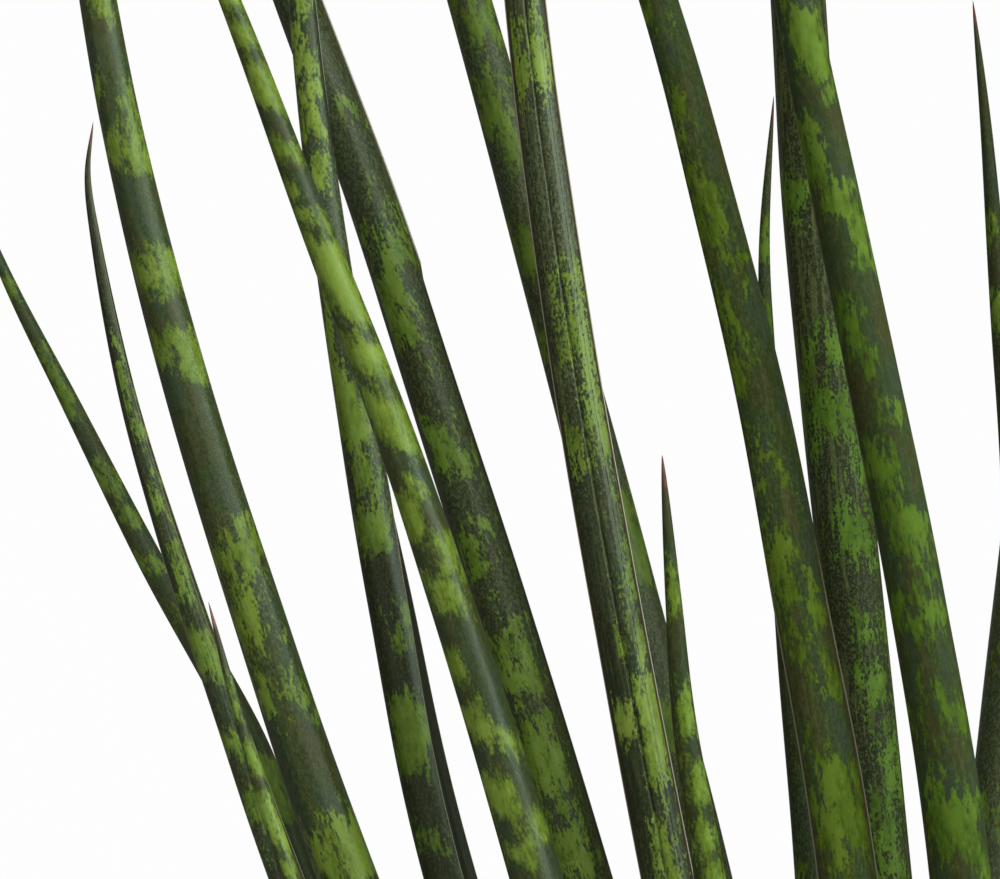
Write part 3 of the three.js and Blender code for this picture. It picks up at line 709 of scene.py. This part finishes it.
def leaf_skin(name, gloss):
    """Dark skin with specks, threads and grit; light green where the patch depth, frayed by noises
    drawn out along the leaf, is above zero; then painted shade in the channel and the dark strips,
    pale crease lines, horny margins, dry tip and dust near the soil."""
    skin = Finish(name, specular_ior_level=gloss)
    skin.shader.inputs["Specular Tint"].default_value = (0.86, 1.0, 0.84, 1)
    place = skin.attribute("straight_place", "Vector")
    tone = skin.attribute("tone")
    streaky = skin.attribute("streaky")
    grainy = skin.attribute("grainy")
    shaded = skin.attribute("shaded")
    ragged = skin.noise(skin.stretched(place, (1, 1, 0.42)), 0.42, 2, 0.5)
    teeth = skin.noise(skin.stretched(place, (1, 1, 0.30)), 1.15, 2, 0.55)
    blotch = skin.noise(skin.stretched(place, (1, 1, 0.6)), 0.16, 2, 0.5)
    marble = skin.noise(skin.stretched(place, (1, 1, 0.45)), 1.0, 4, 0.62)
    speck = skin.noise(skin.stretched(place, (1, 1, 0.6)), 2.0, 2, 0.55)
    grit = skin.noise(place, 4.2, 1, 0.5)
    thread = skin.noise(skin.stretched(place, (1, 1, 0.07)), 1.1, 2, 0.5)
    cloud = skin.noise(skin.stretched(place, (1, 1, 0.35)), 0.22, 2, 0.5)

    border = skin.sum(skin.scaled(ragged, 13, -6.5), skin.scaled(teeth, 13, -6.4))
    border = skin.sum(border, skin.scaled(blotch, 9, -4.5))
    edge = skin.sum(skin.attribute("pale_depth"), skin.product(skin.attribute("jagged"), border))
    edge = skin.sum(edge, skin.product(skin.scaled(speck, 1, -0.5), skin.scaled(grainy, 10, 2)))
    uneven = skin.sum(skin.scaled(thread, 12, -6), skin.scaled(speck, 22, -11))
    edge = skin.sum(edge, skin.product(streaky, uneven))
    # Painted shade hides the light patches under it.
    edge = skin.sum(edge, skin.product(skin.share(shaded, 0.20, 0.45), -14))
    light = skin.share(edge, skin.scaled(grainy, 0.6, -1.1), skin.scaled(grainy, -0.5, 1.2))

    dark = skin.mix(skin.share(cloud, 0.36, 0.56), (0.036, 0.038, 0.0065), (0.022, 0.044, 0.008))
    dark = skin.mix(skin.product(skin.share(marble, 0.46, 0.64), 0.45), dark, (0.062, 0.084, 0.028))
    dark = skin.mix(skin.product(skin.share(cloud, 0.54, 0.62), 0.55), dark, (0.030, 0.045, 0.028))
    # Partly the skin's own darker colour, partly painted shade: the dark skin is blackened where a
    # leaf stands in shade.
    dark = skin.mix(skin.attribute("black_and_shade"), dark, (0.009, 0.011, 0.003))
    light_speck = skin.product(skin.share(speck, 0.50, 0.60), skin.scaled(grainy, 0.70, 0.05))
    dark = skin.mix(light_speck, dark, (0.090, 0.112, 0.042))
    dark_speck = skin.product(skin.share(speck, 0.48, 0.38), skin.scaled(grainy, 0.50, 0.15))
    dark = skin.mix(dark_speck, dark, (0.010, 0.014, 0.003))
    light_grit = skin.product(skin.share(grit, 0.54, 0.64), skin.scaled(grainy, 0.55, 0.03))
    dark = skin.mix(light_grit, dark, (0.115, 0.140, 0.055))
    threads = skin.product(skin.share(thread, 0.54, 0.64), skin.product(streaky, 0.5))
    dark = skin.mix(threads, dark, (0.120, 0.150, 0.045))
    green = skin.mix(tone, (0.054, 0.098, 0.003), (0.190, 0.278, 0.022))
    rich = skin.mix(tone, (0.094, 0.160, 0.010), (0.282, 0.392, 0.058))
    deep = skin.mix(tone, (0.033, 0.062, 0.002), (0.100, 0.170, 0.012))
    green = skin.mix(skin.product(skin.share(marble, 0.50, 0.38), 0.75), green, deep)
    green = skin.mix(skin.product(skin.share(cloud, 0.44, 0.60), 0.60), green, rich)
    green = skin.mix(skin.product(skin.share(marble, 0.54, 0.66), 0.60), green, rich)
    green = skin.mix(skin.product(skin.share(edge, 2.6, 0.0), 0.50), green, (0.030, 0.056, 0.004))
    bluish = skin.mix(1.0, green, (0.78, 1.0, 1.7), "MULTIPLY")
    green = skin.mix(skin.attribute("cool"), green, bluish)
    pits = skin.product(skin.share(speck, 0.46, 0.36), skin.share(ragged, 0.66, 0.46))
    pits = skin.product(pits, skin.scaled(grainy, 0.5, 0.1))
    green = skin.mix(pits, green, (0.018, 0.034, 0.004))
    colour = skin.mix(light, dark, green)
    # Painted shade: the channel and the dark strips darkened towards near-black.
    shade = skin.product(skin.share(shaded, 0.45, 1.05), 0.9)
    colour = skin.mix(shade, colour, (0.009, 0.010, 0.005))

    crease_line = skin.share(skin.attribute("pale_line"), 0.05, 0.7)
    colour = skin.mix(crease_line, colour, (0.17, 0.19, 0.09))
    horny = skin.attribute("horny")
    margin = skin.attribute("from_margin")
    brown_side = skin.product(skin.share(margin, -0.80, -0.35), skin.share(margin, 0.50, 0.25))
    colour = skin.mix(skin.product(brown_side, horny), colour, (0.045, 0.027, 0.018))
    margin_line = skin.product(skin.share(margin, -0.26, -0.10), skin.share(margin, 0.26, 0.10))
    colour = skin.mix(skin.product(margin_line, horny), colour, (0.44, 0.44, 0.31))

    from_tip = skin.sum(skin.attribute("from_tip"), skin.scaled(ragged, 9, -4.5))
    dry = skin.mix(tone, (0.075, 0.020, 0.013), (0.24, 0.13, 0.10))
    colour = skin.mix(skin.product(skin.share(from_tip, 16, 3), 0.8), colour, (0.050, 0.038, 0.022))
    colour = skin.mix(skin.share(from_tip, 6, 3), colour, dry)
    height = skin.node("SeparateXYZ", {0: skin.place()}, 2)
    near_soil = skin.sum(height, skin.scaled(ragged, 14 * MM, -7 * MM))
    near_soil = skin.share(near_soil, SOIL_Z + 16 * MM, SOIL_Z - 1 * MM)
    colour = skin.mix(skin.product(near_soil, 0.7), colour, (0.22, 0.20, 0.10))

    rough = skin.sum(skin.scaled(speck, 0.5, 0.47), skin.product(skin.attribute("waxy"), -0.30))
    ridges = skin.relief(thread, 0.10 * MM, 0.25)
    return skin.finish(colour, rough, skin.relief(speck, 0.08 * MM, 0.5, ridges))


rng = np.random.default_rng(11)
waxy_skin = leaf_skin("waxy_leaf_skin", 0.40)
dull_skin = leaf_skin("dull_leaf_skin", 0.18)
stems = []
for number, leaf in enumerate(LEAVES, start=1):
    piece, centre, radius = make_leaf(number, leaf, rng)
    piece.data.materials.append(dull_skin if leaf.get("waxy", 1) < DULL_BELOW else waxy_skin)
    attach(piece, "root")
    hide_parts(f"leaf_{number:02d}")
    at_soil = np.argmin(np.abs(centre[:, 2] * MM - SOIL_Z))
    stems.append((*centre[at_soil, :2] * MM, radius[at_soil] * MM))
stems = np.array(stems)


# ---- Soil -----------------------------------------------------------------------------------
# Loose potting mix: dark peat with bark chips, white perlite and a little grit. It fills the pot to
# a thumb's width under the rim, rises a little at the middle and is heaped round the leaves' feet.

SOIL_GAP = 0.3 * MM
SOIL_MIDDLE, SOIL_SHOULDER, SOIL_EDGE = 127 * MM, 125.5 * MM, 122 * MM
SOIL_SIDES = 480
SOIL_RING_STEP = 0.85 * MM
LUMPS = ((15, 1.3), (7, 0.9), (3.2, 0.55), (1.6, 0.35))
HEAP = 1.6 * MM
HEAP_WIDTH = 4 * MM
GRAIN_FIELD = 96 * MM


def lumps(x, y, size, rng):
    """Random heights from -1 to 1 on a square lattice of this size, blended by 3s^2 - 2s^3
    between. They repeat every 64 squares."""
    heights = rng.uniform(-1, 1, (64, 64))
    column, row = x / size, y / size
    i, j = np.floor(column).astype(int), np.floor(row).astype(int)
    u, v = column - i, row - j
    u, v = u * u * (3 - 2 * u), v * v * (3 - 2 * v)
    at = [heights[(i + a) % 64, (j + b) % 64] for a in (0, 1) for b in (0, 1)]
    return (1 - u) * ((1 - v) * at[0] + v * at[1]) + u * ((1 - v) * at[2] + v * at[3])


def soil_height(x, y):
    """Height of the soil: a flat dome that falls to the pot's wall, a heap of height
    HEAP exp(-(gap / HEAP_WIDTH)^2) round each leaf, and four sizes of lumps that are lower in the
    last 2 mm before the wall."""
    rng = np.random.default_rng(5)
    away = np.hypot(x, y)
    wall = inner_radius(SOIL_EDGE) - SOIL_GAP
    dome_heights = [SOIL_MIDDLE, SOIL_MIDDLE, SOIL_SHOULDER, SOIL_EDGE]
    z = np.interp(away, [0, 0.6 * wall, 0.85 * wall, wall], dome_heights)
    gap = np.hypot(x[..., None] - stems[:, 0], y[..., None] - stems[:, 1]) - stems[:, 2]
    z = z + HEAP * np.exp(-((np.maximum(gap, 0) / HEAP_WIDTH) ** 2)).max(axis=-1)
    rough = sum(tall * MM * lumps(x, y, size * MM, rng) for size, tall in LUMPS)
    return z + rough * np.clip((wall - away) / (2 * MM), 0.15, 1)


def make_soil():
    """The outline from the middle of the pot's floor, out, up the wall and in over the top, turned
    round the pot's middle; points of the top take soil_height."""
    top = inner_radius(SOIL_EDGE) - SOIL_GAP
    low = FLOOR + SOIL_GAP
    side_z = np.linspace(low, SOIL_EDGE, 24)
    floor_r = np.linspace(6 * MM, inner_radius(low) - SOIL_GAP, 8)
    floor_z = np.full(len(floor_r), low)
    top_r = np.arange(top, 0.5 * MM, -SOIL_RING_STEP)[1:]
    radius = np.concatenate([floor_r[:-1], inner_radius(side_z) - SOIL_GAP, top_r])[:, None]
    z = np.concatenate([floor_z[:-1], side_z, np.full(len(top_r), SOIL_EDGE)])[:, None]
    angle = np.linspace(0, 2 * np.pi, SOIL_SIDES, endpoint=False)[None, :]
    x, y, z = radius * np.cos(angle), radius * np.sin(angle), z + 0 * angle
    on_top = slice(-len(top_r) - 1, None)
    z[on_top] = soil_height(x[on_top], y[on_top])
    peak = soil_height(np.zeros(1), np.zeros(1))
    rings = np.stack([x, y, z], axis=-1)[None]
    return closed_skins("potting_soil", rings, np.array([[0, 0, low]]), np.array([[0, 0, peak[0]]]))


def make_grains(name, pitch, kept, half_sizes, spread, sunk, rng):
    """Small closed stones: an ellipsoid of three rings and two poles whose points stand nearer or
    farther at random, turned about the upright and tipped a little. They lie on a square lattice of
    this pitch, each moved at random, and those too near a leaf or the wall are left out."""
    across = np.arange(-GRAIN_FIELD, GRAIN_FIELD, pitch)
    spots = np.stack(np.meshgrid(across, across), axis=-1).reshape(-1, 2)
    spots = spots + rng.uniform(-0.38, 0.38, spots.shape) * pitch
    size = np.array(half_sizes) * MM * rng.uniform(1 - spread, 1 + spread, (len(spots), 1))
    size = size * rng.uniform(0.85, 1.15, size.shape)
    reach = size[:, 0]
    gap = np.hypot(spots[:, None, 0] - stems[:, 0], spots[:, None, 1] - stems[:, 1]) - stems[:, 2]
    wall = inner_radius(SOIL_EDGE) - 1 * MM
    fits = (gap.min(axis=1) > reach + 0.8 * MM) & (np.hypot(*spots.T) + reach < wall)
    fits &= rng.uniform(size=len(spots)) < kept
    spots, size = spots[fits], size[fits]
    count = len(spots)

    latitude = np.radians([-48, -8, 34])[:, None]
    longitude = np.linspace(0, 2 * np.pi, 8, endpoint=False)[None, :]
    x, y = np.cos(latitude) * np.cos(longitude), np.cos(latitude) * np.sin(longitude)
    ball = np.stack([x, y, np.sin(latitude) + 0 * longitude], axis=-1)
    knobs = rng.uniform(0.72, 1.2, (count, *ball.shape[:2], 1))
    rings = ball[None] * knobs * size[:, None, None]
    ends = rng.uniform(0.8, 1, (count, 2, 1))
    poles = np.array([[0, 0, -1.0], [0, 0, 1.0]]) * ends * size[:, None]
    turn, tip = rng.uniform(0, 2 * np.pi, count), rng.uniform(-0.45, 0.45, count)
    c, s, ct, st, o = np.cos(turn), np.sin(turn), np.cos(tip), np.sin(tip), np.zeros(count)
    turned = np.array([[c * ct, -s, c * st], [s * ct, c, s * st], [-st, o, ct]]).transpose(2, 0, 1)
    seat = soil_height(*spots.T) + (1 - 2 * sunk) * size[:, 2]
    centre = np.column_stack([spots, seat])
    rings = np.einsum("nij,nrkj->nrki", turned, rings) + centre[:, None, None]
    poles = np.einsum("nij,npj->npi", turned, poles) + centre[:, None]
    piece = closed_skins(name, rings, poles[:, 0], poles[:, 1])
    layer = piece.data.attributes.new("tone", "FLOAT", "POINT")
    tones = np.repeat(rng.uniform(size=count), x.size + poles.shape[1])
    layer.data.foreach_set("value", tones.astype(np.float32))
    return piece


def grain_finish(name, dull, bright, pits, fineness):
    """One colour a grain, between dull and bright, with darker pits."""
    grain = Finish(name, specular_ior_level=0.25)
    place = grain.place()
    body = grain.mix(grain.attribute("tone"), dull, bright)
    hollow = grain.noise(grain.stretched(place, (1, 1, 2.5)), fineness, 3, 0.6)
    body = grain.mix(grain.product(grain.share(hollow, 0.50, 0.36), 0.8), body, pits)
    return grain.finish(body, grain.scaled(hollow, 0.2, 0.75), grain.relief(hollow, 0.5 * MM, 0.6))


def peat():
    soil = Finish("potting_soil", specular_ior_level=0.15)
    place = soil.place()
    crumb = soil.noise(place, 520, 4, 0.65)
    body = soil.mix(soil.share(crumb, 0.36, 0.62), (0.016, 0.010, 0.007), (0.062, 0.038, 0.024))
    damp = soil.noise(place, 34, 2)
    body = soil.mix(soil.product(soil.share(damp, 0.42, 0.60), 0.4), body, (0.085, 0.056, 0.036))
    fibre = soil.noise(soil.stretched(place, (1, 5, 1)), 330, 2, 0.5)
    body = soil.mix(soil.product(soil.share(fibre, 0.62, 0.70), 0.7), body, (0.150, 0.095, 0.055))
    dust = soil.noise(place, 1400, 1)
    body = soil.mix(soil.product(soil.share(dust, 0.70, 0.76), 0.6), body, (0.40, 0.36, 0.31))
    rough = soil.scaled(crumb, 0.15, 0.82)
    return soil.finish(body, rough, soil.relief(crumb, 1.2 * MM, 0.8))


soil = make_soil()
soil.data.materials.append(peat())
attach(soil, "root")
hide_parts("soil")

# Each: name, pitch in mm, share kept, half sizes in mm, spread of the sizes, share sunk, its dull,
# bright and pit colours, and the fineness of the pits.
GRAINS = [
    ("bark_chips", 8.5, 0.85, (3.6, 2.1, 1.0), 0.45, 0.45,
     (0.085, 0.040, 0.020), (0.26, 0.135, 0.070), (0.030, 0.015, 0.009), 420),
    ("perlite_grains", 9.5, 0.60, (1.5, 1.3, 1.1), 0.40, 0.40,
     (0.62, 0.59, 0.53), (0.80, 0.79, 0.76), (0.40, 0.36, 0.30), 900),
    ("fine_grit", 5.5, 0.60, (0.9, 0.75, 0.6), 0.45, 0.35,
     (0.10, 0.080, 0.060), (0.36, 0.31, 0.24), (0.05, 0.04, 0.03), 1500),
]
grain_rng = np.random.default_rng(23)
for name, pitch, kept, half_sizes, spread, sunk, dull, bright, pits, fineness in GRAINS:
    grains = make_grains(name, pitch * MM, kept, half_sizes, spread, sunk, grain_rng)
    grains.data.materials.append(grain_finish(name, dull, bright, pits, fineness))
    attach(grains, "root")


# ---- Floor, light and camera ----------------------------------------------------------------
# A thin pale round floor under the pot, a wide soft sky lamp, and four square soft lamps: the key
# high at the right front, a weak fill at the left, one low at the far right and one high behind.
# The surround is seen as even white, but lights the plant only weakly.

FLOOR_RADIUS = 0.6
FLOOR_SHEET = 0.1 * MM
ringed = np.linspace(0, 2 * np.pi, 128, endpoint=False)
disc = np.stack([FLOOR_RADIUS * np.cos(ringed), FLOOR_RADIUS * np.sin(ringed), 0 * ringed], axis=-1)
floor = closed_skins(
    "floor",
    np.stack([disc - (0, 0, FLOOR_SHEET), disc])[None],
    np.array([[0, 0, -FLOOR_SHEET]]),
    np.zeros((1, 3)),
)
floor.data.shade_flat()
grey = (0.46, 0.46, 0.46, 1)
paper = Finish("pale_floor", base_color=grey, roughness=0.9, specular_ior_level=0.1)
floor.data.materials.append(paper.material)

LAMP_TARGET = np.array([-0.05, 0, 0.36])


def soft_lamp(name, azimuth, elevation, distance, size, power, colour):
    """A square lamp that faces LAMP_TARGET from this distance. Its azimuth runs to the right from
    the camera's side; both angles are in degrees."""
    turn, lift = np.radians([azimuth, elevation])
    out = np.array([np.sin(turn) * np.cos(lift), -np.cos(turn) * np.cos(lift), np.sin(lift)])
    lamp = bpy.data.lights.new(name, "AREA")
    lamp.size = size
    lamp.energy = power
    lamp.color = colour
    holder = bpy.data.objects.new(name, lamp)
    bpy.context.scene.collection.objects.link(holder)
    holder.location = LAMP_TARGET + distance * out
    holder.rotation_euler = (np.pi / 2 - lift, 0, turn)
    holder.visible_camera = False


sky_lamp = bpy.data.lights.new("sky_lamp", "SUN")
sky_lamp.energy = 2.6
sky_lamp.angle = np.radians(50)
sky = bpy.data.objects.new("sky_lamp", sky_lamp)
sky.rotation_euler = np.radians([18, 0, 20])
bpy.context.scene.collection.objects.link(sky)
soft_lamp("key_lamp", 26, 30, 2.0, 1.2, 19.5, (1.0, 0.99, 0.97))
soft_lamp("fill_lamp", -38, 12, 2.0, 1.2, 5.5, (1.0, 0.98, 0.90))
soft_lamp("side_lamp", 64, 8, 1.7, 1.0, 30, (0.92, 0.98, 1.0))
soft_lamp("back_lamp", 195, 36, 2.2, 1.4, 42, (1.0, 0.98, 0.96))

world = bpy.data.worlds.new("white_surround")
world.use_nodes = True
surround = world.node_tree
surround.nodes.clear()
seen = surround.nodes.new("ShaderNodeBackground")
seen.inputs["Color"].default_value = (1, 1, 1, 1)
seen.inputs["Strength"].default_value = 0.985
felt = surround.nodes.new("ShaderNodeBackground")
felt.inputs["Color"].default_value = (1.0, 0.97, 0.95, 1)
felt.inputs["Strength"].default_value = 0.15
path = surround.nodes.new("ShaderNodeLightPath")
either = surround.nodes.new("ShaderNodeMixShader")
out = surround.nodes.new("ShaderNodeOutputWorld")
surround.links.new(path.outputs["Is Camera Ray"], either.inputs[0])
surround.links.new(felt.outputs[0], either.inputs[1])
surround.links.new(seen.outputs[0], either.inputs[2])
surround.links.new(either.outputs[0], out.inputs["Surface"])
bpy.context.scene.world = world
bpy.context.scene.view_settings.view_transform = "Standard"

CAMERA_PLACE = (-0.102, -1.2, 0.4127)
camera = bpy.data.cameras.new("camera")
camera.sensor_width = 36
camera.lens = 216
camera.clip_start = 0.01
camera.clip_end = 60
eye = bpy.data.objects.new("camera", camera)
eye.location = CAMERA_PLACE
eye.rotation_euler = (np.pi / 2, 0, 0)
bpy.context.scene.collection.objects.link(eye)
bpy.context.scene.camera = eye

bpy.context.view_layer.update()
